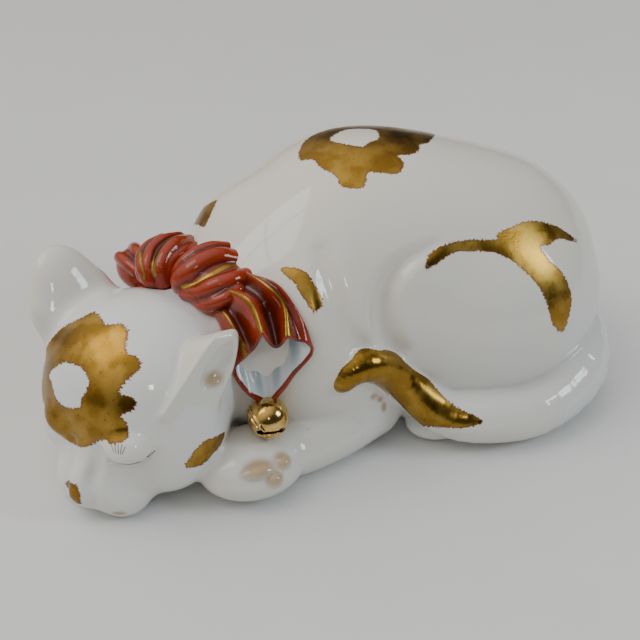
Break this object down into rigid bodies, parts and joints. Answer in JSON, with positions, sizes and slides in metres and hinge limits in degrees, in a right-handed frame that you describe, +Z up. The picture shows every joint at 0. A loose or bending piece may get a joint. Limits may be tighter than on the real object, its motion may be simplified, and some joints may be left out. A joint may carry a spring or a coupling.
{
  "type": "sleeping cat figurine",
  "caption": "Hollow glazed porcelain cat asleep with its tail curled round, wearing a bow and a round bell; stands on a flat foot rim.",
  "frame": {"origin": "centre of the outline in plan, on the plane the foot rim rests on", "axes": "+Z up, -X towards the head, -Y towards the curled tail and forelegs"},
  "size_m": [0.2489, 0.1378, 0.1145],
  "materials": {
    "porcelain_white": "gloss",
    "biscuit": "matte",
    "ribbon_red": "gloss",
    "bell_gold": "gloss"
  },
  "bodies": {
    "root": {"trunk_shell": "porcelain_white", "base_plate": "biscuit", "head_shell": "porcelain_white", "near_ear": "porcelain_white", "far_ear": "porcelain_white", "near_forepaw": "porcelain_white", "near_foreleg": "porcelain_white", "far_foreleg": "porcelain_white", "hind_foot": "porcelain_white", "tail": "porcelain_white", "ribbon_collar": "ribbon_red", "ribbon_loop": "ribbon_red", "ribbon_knot": "ribbon_red", "ribbon_far_end": "ribbon_red", "ribbon_flare": "ribbon_red", "bell": "bell_gold", "bell_lug": "bell_gold"}
  },
  "joints": []
}
